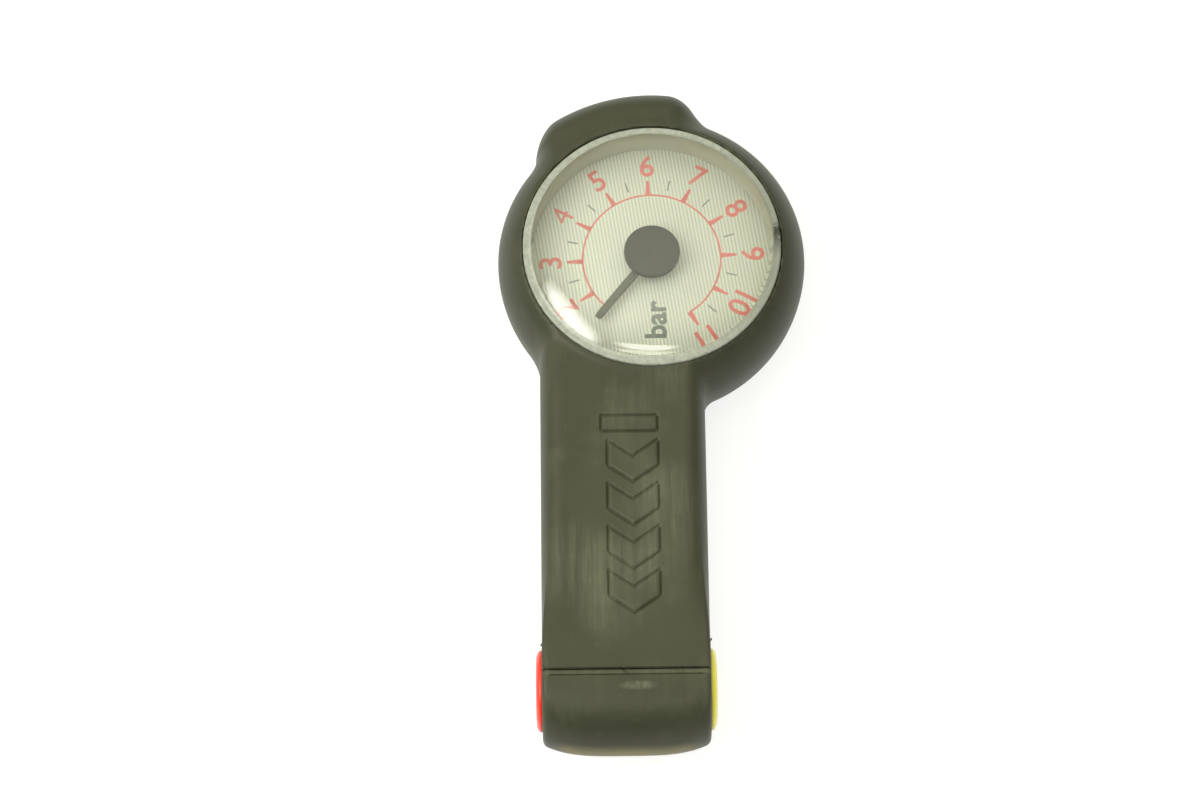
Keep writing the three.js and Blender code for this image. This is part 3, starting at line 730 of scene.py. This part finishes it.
def build_sleeve():
    v, q = surface(f_sleeve, (-25, -71, -0.8), (25, 30, 18.8), H)
    bm = cut_piece(v, q, y_keep_above=SEAM)
    round_lip(bm, SEAM, ((0.0, 0.16), (0.10, 0.08), (0.22, 0.03)), 1)
    # a finer mesh where the marks are
    def near(f):
        c = f.calc_center_median() / MM
        return c.z > THICK - 0.2 and -8.6 < c.x < 1.3 and -60.4 < c.y < -26.4 and f.normal.z > 0.9

    bm.normal_update()
    faces = [f for f in bm.faces if near(f)]
    edges = list({e for f in faces for e in f.edges})
    bmesh.ops.subdivide_edges(bm, edges=edges, cuts=3, use_grid_fill=True)
    bm.verts.ensure_lookup_table()
    co = np.array([x.co for x in bm.verts]) / MM
    pick = np.flatnonzero(
        (co[:, 2] > THICK - 0.15)
        & (co[:, 0] > -8.5)
        & (co[:, 0] < 1.2)
        & (co[:, 1] > -60.3)
        & (co[:, 1] < -26.6)
    )
    d = mark_field(co[pick, 0], co[pick, 1])
    groove = -0.28 * np.clip(1 - np.abs(d) / 0.26, 0, 1)
    pad = 0.15 * smooth(-d, 0.0, 0.7)
    for i, z in zip(pick, groove + pad):
        bm.verts[i].co.z += z * MM
    # a nick in the lip at the middle of the seam
    faces = [
        f
        for f in bm.faces
        if abs(f.calc_center_median().x / MM - BAR_X) < 1.6
        and -67.7 < f.calc_center_median().y / MM < -66.4
        and f.calc_center_median().z > 16.6 * MM
    ]
    bmesh.ops.subdivide_edges(bm, edges=list({e for f in faces for e in f.edges}), cuts=2, use_grid_fill=True)
    for x in bm.verts:
        c = x.co / MM
        if c.z > 16.5 and -67.76 < c.y < -66.5 and abs(c.x - BAR_X) < 1.5:
            d = math.hypot(c.x - BAR_X + 0.55, (c.y + 67.75) * 0.8)
            x.co.z -= 0.22 * MM * max(0, 1 - d / 0.34)
    return from_bmesh(
        bm, "sleeve_skin", RUBBER, slot="sleeve_rubber", stands_for=("rubber_sleeve",), angle=50
    )


def build_boot():
    h = 0.33
    v, q = surface(f_boot, (-19, -80, -0.8), (9.3, -65, 18.4), h)
    bm = cut_piece(v, q, y_keep_below=SEAM - 0.16)
    round_lip(bm, SEAM - 0.16, ((0.0, 0.16), (0.12, 0.07)), -1)
    # shallow groove behind the front lip, across the top
    for y in (-68.62, -68.72, -68.82):
        bmesh.ops.bisect_plane(
            bm,
            geom=bm.verts[:] + bm.edges[:] + bm.faces[:],
            dist=1e-9,
            plane_co=(0, y * MM, 0),
            plane_no=(0, 1, 0),
        )
    bm.normal_update()
    for x in bm.verts:
        c = x.co / MM
        if abs(c.y + 68.72) < 1e-3 and c.z > 15.5 and abs(c.x - BAR_X) < HALF - 0.9:
            x.co.z -= 0.2 * MM
    # the nick carries on across the lip's strip
    def strip(f):
        c = f.calc_center_median() / MM
        return abs(c.x - BAR_X) < 1.2 and -68.72 < c.y < -67.92 and c.z > 16.4

    faces = [f for f in bm.faces if strip(f)]
    bmesh.ops.subdivide_edges(bm, edges=list({e for f in faces for e in f.edges}), cuts=3, use_grid_fill=True)
    for x in bm.verts:
        c = x.co / MM
        if c.z > 16.3 and -68.73 < c.y < -67.8 and abs(c.x - BAR_X) < 1.2:
            d = abs((c.x - BAR_X + 0.1) * 0.70 + (c.y + 68.3) * 0.71)
            x.co.z -= 0.28 * MM * max(0, 1 - d / 0.2)
    return from_bmesh(
        bm, "boot_skin", RUBBER, slot="sleeve_rubber", stands_for=("end_boot",), angle=50
    )


build_sleeve()
build_boot()


# Small tags of moulding flash beside the ports.
def flash(name, base, tip, r):
    base, tip = Vector(base), Vector(tip)
    axis = (tip - base).normalized()
    side = axis.cross(Vector((0, 0, 1))).normalized()
    other = axis.cross(side)
    bm = bmesh.new()
    rings = []
    n = 14
    for t, s in ((0, 1.15), (0.2, 1.0), (0.45, 0.72), (0.7, 0.52), (0.88, 0.42), (1.0, 0.2)):
        c = base.lerp(tip, t)
        c = c + side * 0.12 * math.sin(t * 4)
        rings.append(
            [
                bm.verts.new((c + (side * math.cos(a) * r * s + other * math.sin(a) * r * s * 0.7)) * MM)
                for a in [2 * math.pi * i / n for i in range(n)]
            ]
        )
    for a, b in zip(rings, rings[1:]):
        for i in range(n):
            bm.faces.new((a[i], a[(i + 1) % n], b[(i + 1) % n], b[i]))
    bm.faces.new(rings[0][::-1])
    bm.faces.new(rings[-1])
    return from_bmesh(bm, name, RUBBER, slot="sleeve_rubber", angle=60)


flash("flash_tag_right", (7.3, -61.4, 9.6), (8.1, -61.1, 9.9), 0.30)
flash("flash_tag_left", (-17.1, -61.6, 9.6), (-17.7, -61.8, 9.8), 0.28)

# ------------------------------------------------------------------ lens
def cap(r0, z0, top, n):
    h = top - z0
    R = (r0 * r0 + h * h) / (2 * h)
    return [
        (r, top - R + math.sqrt(R * R - r * r))
        for r in [r0 * i / n for i in range(n + 1)]
    ]


def dome(r0, z0, top, n):
    h = top - z0
    return [
        (r0 * i / n, top - 0.52 * h * (i / n) ** 2 - 0.48 * h * (i / n) ** 6)
        for i in range(n + 1)
    ]


inner = dome(18.55, 16.75, 19.6, 30)
outer_dome = dome(19.0, 17.6, 20.9, 48)
lens_profile = (
    inner
    + arc_points(18.55, 16.35, 0.4, 80, 5, 5)
    + [(18.95, 16.2), (18.95, 12.15), (19.05, 12.05), (19.75, 12.05), (19.85, 12.15), (19.85, 17.2)]
    + arc_points(19.55, 17.3, 0.3, 10, 88, 5)
    + [(19.2, 17.585)]
    + outer_dome[::-1]
)
lathe_object(
    "lens_dome",
    lens_profile,
    LENS,
    segments=240,
    slot="clear_lens",
    stands_for=("lens",),
    angle=35,
)
lens_ob = bpy.data.objects["lens_dome"]
lens_ob.data.materials.append(FROST)
for p in lens_ob.data.polygons:
    c = p.center / MM
    r = math.hypot(c.x, c.y)
    if r > 19.02 or (r > 18.8 and c.z > 16.9):
        p.material_index = 1
lathe_object(
    "dial_ring_fine",
    [(18.25, 12.05), (18.86, 12.05), (18.88, 12.1), (18.86, 16.2), (18.74, 16.33), (18.62, 16.3), (18.5, 15.6), (18.32, 13.6), (18.22, 12.4)],
    RING,
    segments=200,
    slot="ring_plastic",
    stands_for=("dial_ring",),
    angle=60,
)

# ------------------------------------------------------------------ dial
lathe_object(
    "dial_card_fine",
    [(2.4, 11.27), (19.78, 11.27), (19.8, 11.3), (19.8, 11.97), (19.77, 12.0), (2.4, 12.0)],
    DIAL,
    segments=200,
    slot="dial_card",
    stands_for=("dial_plate",),
    angle=60,
)
PRINT_Z0, PRINT_Z1 = 11.985, 12.025


def flat_shape(name, polys, material):
    """Thin printed shapes: each polygon becomes a closed plate."""
    bm = bmesh.new()
    for poly in polys:
        n = len(poly)
        lo = [bm.verts.new((x * MM, y * MM, PRINT_Z0 * MM)) for x, y in poly]
        hi = [bm.verts.new((x * MM, y * MM, PRINT_Z1 * MM)) for x, y in poly]
        for i in range(n):
            bm.faces.new((lo[i], lo[(i + 1) % n], hi[(i + 1) % n], hi[i]))
        bm.faces.new(hi)
        bm.faces.new(lo[::-1])
    return from_bmesh(bm, name, material, slot="dial_card", angle=30)


def polar(r, deg):
    a = math.radians(deg)
    return (-r * math.sin(a), r * math.cos(a))


def dial_angle(bar):
    """Anticlockwise from +Y, in degrees, of a pressure on the scale."""
    return -(-2.1 + (bar - 6) * 30)


# scale arc, in short pieces so each is a plain closed strip
arc = []
a0, a1 = 139.0, -148.0
steps = 96
outer_r, inner_r = 10.70, 10.44
strip = [polar(outer_r, a0 + (a1 - a0) * i / steps) for i in range(steps + 1)]
strip += [polar(inner_r, a0 + (a1 - a0) * i / steps) for i in range(steps, -1, -1)]
bm = bmesh.new()
n = steps + 1
lo = [[bm.verts.new((x * MM, y * MM, z * MM)) for x, y in strip] for z in (PRINT_Z0, PRINT_Z1)]
for i in range(steps):
    o, p = i, i + 1
    a, b = 2 * n - 1 - i, 2 * n - 2 - i
    bm.faces.new((lo[1][o], lo[1][p], lo[1][b], lo[1][a]))
    bm.faces.new((lo[0][a], lo[0][b], lo[0][p], lo[0][o]))
for i in range(2 * n):
    j = (i + 1) % (2 * n)
    bm.faces.new((lo[0][i], lo[0][j], lo[1][j], lo[1][i]))
from_bmesh(bm, "print_arc", INK_RED, slot="dial_card", angle=30)


def tick(bar, r_in, r_out, w_in, w_out):
    a = dial_angle(bar)
    def at(r, off):
        return polar(r, a + math.degrees(off / r))
    return [at(r_in, w_in), at(r_out, w_out), at(r_out, -w_out), at(r_in, -w_in)]


major = [tick(b, 10.60, 13.0, 0.42, 0.17) for b in range(2, 12)]
flat_shape("print_ticks_red", major, INK_RED)
minor = [tick(b + 0.5, 11.6, 13.25, 0.10, 0.10) for b in range(2, 11)]
flat_shape("print_ticks_dark", minor, INK_DARK)


def text_piece(name, text, size, x, y, turn, material, spacing=1.0, bold=0.0):
    cu = bpy.data.curves.new(name + "_c", "FONT")
    cu.body = text
    cu.size = size * MM
    cu.align_x = "CENTER"
    cu.align_y = "CENTER"
    cu.space_character = spacing
    cu.extrude = (PRINT_Z1 - PRINT_Z0) / 2 * MM
    cu.offset = bold * MM
    cu.resolution_u = 6
    ob = bpy.data.objects.new(name + "_c", cu)
    scene.collection.objects.link(ob)
    ob.location = Vector((x, y, (PRINT_Z0 + PRINT_Z1) / 2)) * MM
    ob.rotation_euler = (0, 0, math.radians(turn))
    bpy.context.view_layer.update()
    dg = bpy.context.evaluated_depsgraph_get()
    me = bpy.data.meshes.new_from_object(ob.evaluated_get(dg))
    me.transform(ob.matrix_world)
    bpy.data.objects.remove(ob)
    me.materials.clear()
    bm = bmesh.new()
    bm.from_mesh(me)
    bmesh.ops.remove_doubles(bm, verts=bm.verts, dist=1e-7)
    return from_bmesh(bm, name, material, slot="dial_card", angle=30)


for b in range(2, 12):
    a = dial_angle(b)
    x, y = polar(15.25, a)
    text_piece(f"numeral_{b}", str(b), 4.8, x, y, a, INK_RED, 0.90, -0.02 if b == 4 else 0.055)
text_piece("unit_word", "bar", 4.6, 0.6, -10.2, 90, INK_DARK, 1.0, 0.12)

# ------------------------------------------------------------------ needle and hub
turn = Matrix.Rotation(math.radians(REST), 4, "Z")
bm = bmesh.new()
section = [(-0.62, 13.6), (0.62, 13.6), (0.63, 13.72), (0.45, 13.88), (-0.45, 13.88), (-0.63, 13.72)]
rings = []
for x, s in ((1.0, 1.02), (4.0, 1.04), (8.0, 1.0), (12.6, 0.93), (13.1, 0.85), (13.38, 0.55)):
    rings.append([bm.verts.new(Vector((x, y * s, z if s > 0.6 else 13.74 + (z - 13.74) * 0.6)) * MM) for y, z in section])
for a, b in zip(rings, rings[1:]):
    for i in range(6):
        bm.faces.new((a[i], a[(i + 1) % 6], b[(i + 1) % 6], b[i]))
bm.faces.new(rings[0][::-1])
bm.faces.new(rings[-1])
bmesh.ops.transform(bm, matrix=turn, verts=bm.verts)
blade = from_bmesh(bm, "needle_blade", NEEDLE, body="needle", slot="needle_plastic", stands_for=("needle",), angle=30)
lathe_object(
    "needle_boss",
    [(0.86, 13.32), (2.3, 13.32), (2.4, 13.42), (2.4, 13.88), (0.86, 13.88)],
    NEEDLE,
    segments=64,
    body="needle",
    slot="needle_plastic",
)
hub = (
    [(0, 14.66), (0.92, 14.66), (0.92, 13.95), (4.0, 13.95)]
    + arc_points(4.0, 14.2, 0.25, -90, 0, 3)[1:]
    + [(4.27, 14.6)]
    + arc_points(3.97, 14.72, 0.30, 5, 78, 6)
    + [(3.2, 15.055), (2.0, 15.09), (0.9, 15.105), (0.45, 15.06), (0.25, 15.0), (0, 14.99)]
)
lathe_object(
    "needle_hub",
    hub,
    HUB,
    segments=128,
    body="needle",
    slot="needle_plastic",
    stands_for=("needle_cap",),
    angle=38,
)

# ------------------------------------------------------------------ ports
def port(name, hole, flat, sign, material, body_slot, cad):
    prof = (
        [(hole, 8.57), (5.10, 8.57), (5.12, 10.43), (5.88, 10.47), (5.90, 12.58), (6.08, 12.6)]
        + [(6.11, 12.7), (6.11, 12.78), (6.09, 12.88), (6.03, 12.99), (5.93, 13.10), (5.79, 13.20), (5.6, 13.29), (5.37, 13.37), (5.1, 13.43)]
        + [(flat, 13.48), (hole + 0.32, 13.5)]
        + arc_points(hole + 0.28, 13.22, 0.28, 90, 180, 5)
    )
    place = (
        Matrix.Translation(Vector((BAR_X, BAR_Y, BAR_Z)) * MM)
        @ Matrix.Rotation(sign * math.pi / 2, 4, "Y")
    )
    lathe_object(name, prof, material, place=place, segments=128, slot=body_slot, stands_for=(cad,), angle=38)


port("port_cap_yellow", 4.25, 4.85, 1, YELLOW, "port_yellow", "schrader_collar")
port("port_cap_red", 3.4, 4.6, -1, RED, "port_red", "presta_collar")


def grommet(name, bore, sign, cad):
    prof = (
        [(bore + 0.35, 5.06), (5.05, 5.06), (5.11, 5.12), (5.11, 8.45), (5.05, 8.5), (bore + 0.35, 8.5)]
        + arc_points(bore + 0.35, 8.15, 0.35, 90, 180, 4)[1:]
        + [(bore + 0.02, 7.6), (bore + 0.12, 7.2), (bore + 0.02, 6.8), (bore + 0.12, 6.4), (bore, 6.0)]
        + arc_points(bore + 0.35, 5.41, 0.35, 180, 270, 4)[:-1]
    )
    place = (
        Matrix.Translation(Vector((BAR_X, BAR_Y, BAR_Z)) * MM)
        @ Matrix.Rotation(sign * math.pi / 2, 4, "Y")
    )
    lathe_object(name, prof, SEAL, place=place, segments=96, slot="seal_rubber", stands_for=(cad,), angle=38)


grommet("grommet_right", 3.85, 1, "schrader_grommet")
grommet("grommet_left", 3.0, -1, "presta_grommet")

# ------------------------------------------------------------------ spring
def spring():
    turns, wire, r = 13, 0.35, 2.6
    y0, y1 = -57.0 + 0.42, -24.9 - 0.42
    per = 36
    n = turns * per
    sides = 10
    closed = 0.7 * 1.04
    open_ = (y1 - y0 - 2 * closed) / (turns - 2)
    bm = bmesh.new()
    rings = []
    for i in range(n + 1):
        t = i / per
        if t < 1:
            y = y0 + closed * t
        elif t > turns - 1:
            y = y1 - closed * (turns - t)
        else:
            y = y0 + closed + open_ * (t - 1)
        a = 2 * math.pi * t
        radial = Vector((math.cos(a), 0, math.sin(a)))
        c = Vector((ROD_X, y, ROD_Z)) + radial * r
        rings.append(
            [
                bm.verts.new((c + radial * wire * math.cos(b) + Vector((0, 1, 0)) * wire * math.sin(b)) * MM)
                for b in [2 * math.pi * k / sides for k in range(sides)]
            ]
        )
    for a, b in zip(rings, rings[1:]):
        for i in range(sides):
            bm.faces.new((a[i], a[(i + 1) % sides], b[(i + 1) % sides], b[i]))
    bm.faces.new(rings[0][::-1])
    bm.faces.new(rings[-1])
    ob = from_bmesh(bm, "coil_spring", STEEL, slot="steel", stands_for=("piston_spring",), angle=60)
    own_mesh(ob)


spring()

# ------------------------------------------------------------------ floor and light
bm = bmesh.new()
bmesh.ops.create_grid(bm, x_segments=8, y_segments=8, size=1.6)
floor_me = bpy.data.meshes.new("floor")
bm.to_mesh(floor_me)
bm.free()
floor = bpy.data.objects.new("floor", floor_me)
floor.location = (0, 0, -0.00005)
scene.collection.objects.link(floor)
fm = Mat("floor_white")
fm.set(Base_Color=fm.mix(fm.noise(fm.mapping(), 6, 2), (0.32, 0.32, 0.32), (0.35, 0.35, 0.35)))
fm.b.inputs["Roughness"].default_value = 0.9
fm.b.inputs["Specular IOR Level"].default_value = 0.1
# the white table is lit from below as well, which leaves no shadow round the object
fm.b.inputs["Emission Color"].default_value = (1, 1, 0.99, 1)
fm.b.inputs["Emission Strength"].default_value = 0.79
floor_me.materials.append(fm.m)

world = bpy.data.worlds.new("studio")
scene.world = world
world.use_nodes = True
bg = world.node_tree.nodes["Background"]
bg.inputs[0].default_value = (1.0, 1.0, 0.96, 1)
bg.inputs[1].default_value = 0.11


def soft_disc(name, loc, aim, radius, strength, colour=(1, 1, 0.95)):
    """A round diffuser that is brightest in the middle and fades out to its edge."""
    bm = bmesh.new()
    bmesh.ops.create_circle(bm, cap_ends=True, cap_tris=True, segments=64, radius=1.0)
    me = bpy.data.meshes.new(name)
    bm.to_mesh(me)
    bm.free()
    ob = bpy.data.objects.new(name, me)
    scene.collection.objects.link(ob)
    ob.location = loc
    ob.scale = (radius, radius, radius)
    ob.rotation_euler = (Vector(aim) - Vector(loc)).to_track_quat("-Z", "Y").to_euler()
    m = bpy.data.materials.new(name)
    m.use_nodes = True
    t = m.node_tree
    t.nodes.clear()
    out = t.nodes.new("ShaderNodeOutputMaterial")
    em = t.nodes.new("ShaderNodeEmission")
    em.inputs[0].default_value = (*colour, 1)
    tc = t.nodes.new("ShaderNodeTexCoord")
    gr = t.nodes.new("ShaderNodeTexGradient")
    gr.gradient_type = "SPHERICAL"
    flat = t.nodes.new("ShaderNodeMapRange")
    flat.inputs["From Max"].default_value = 0.4
    mu = t.nodes.new("ShaderNodeMath")
    mu.operation = "MULTIPLY"
    mu.inputs[1].default_value = strength
    t.links.new(tc.outputs["Object"], gr.inputs[0])
    t.links.new(gr.outputs["Fac"], flat.inputs["Value"])
    t.links.new(flat.outputs[0], mu.inputs[0])
    t.links.new(mu.outputs[0], em.inputs[1])
    t.links.new(em.outputs[0], out.inputs[0])
    me.materials.append(m)
    ob.visible_camera = False
    return ob


def sky_panel(name, radius, strength, colour):
    """A dome-shaped diffuser behind and above the object, fading out towards the front."""
    me = bpy.data.meshes.new(name)
    bm = bmesh.new()
    bmesh.ops.create_uvsphere(bm, u_segments=64, v_segments=32, radius=1.0)
    drop = [v for v in bm.verts if v.co.y < -0.42 or v.co.z < 0.10]
    bmesh.ops.delete(bm, geom=drop, context="VERTS")
    bm.to_mesh(me)
    bm.free()
    ob = bpy.data.objects.new(name, me)
    scene.collection.objects.link(ob)
    ob.scale = (radius, radius, radius)
    m = Mat(name)
    sep = m.node("ShaderNodeSeparateXYZ")
    m.link(m.coord, sep.inputs[0])
    front = m.fac(sep.outputs[1], -0.42, 0.05)
    side = m.scale(m.fac(sep.outputs[0], 0.9, -0.9), 0.72, 1.18)
    low = m.scale(m.fac(sep.outputs[2], 0.10, 1.0), 0.15, 1.0)
    power = m.math("MULTIPLY", m.math("MULTIPLY", front, side), m.math("MULTIPLY", low, strength))
    m.set(Base_Color=(0, 0, 0), Emission_Color=colour)
    m.put(m.b, "Emission Strength", power)
    m.b.inputs["Specular IOR Level"].default_value = 0.0
    me.materials.append(m.m)
    ob.visible_camera = False
    return ob


sky_panel("sky_panel", 2.4, 1.85, (1.0, 1.0, 0.82))
key = soft_disc("key_disc", (-1.05, -0.36, 1.28), (0, -0.01, 0.01), 0.30, 12.0, (1, 1, 0.94))
key.scale = (0.70, 0.40, 0.3)
rim = soft_disc("rim_disc", (-0.07, -0.77, 1.30), (0, -0.01, 0.01), 0.30, 13.0, (1, 1, 0.9))
rim.scale = (0.46, 0.115, 0.3)
scene.view_settings.view_transform = "Standard"
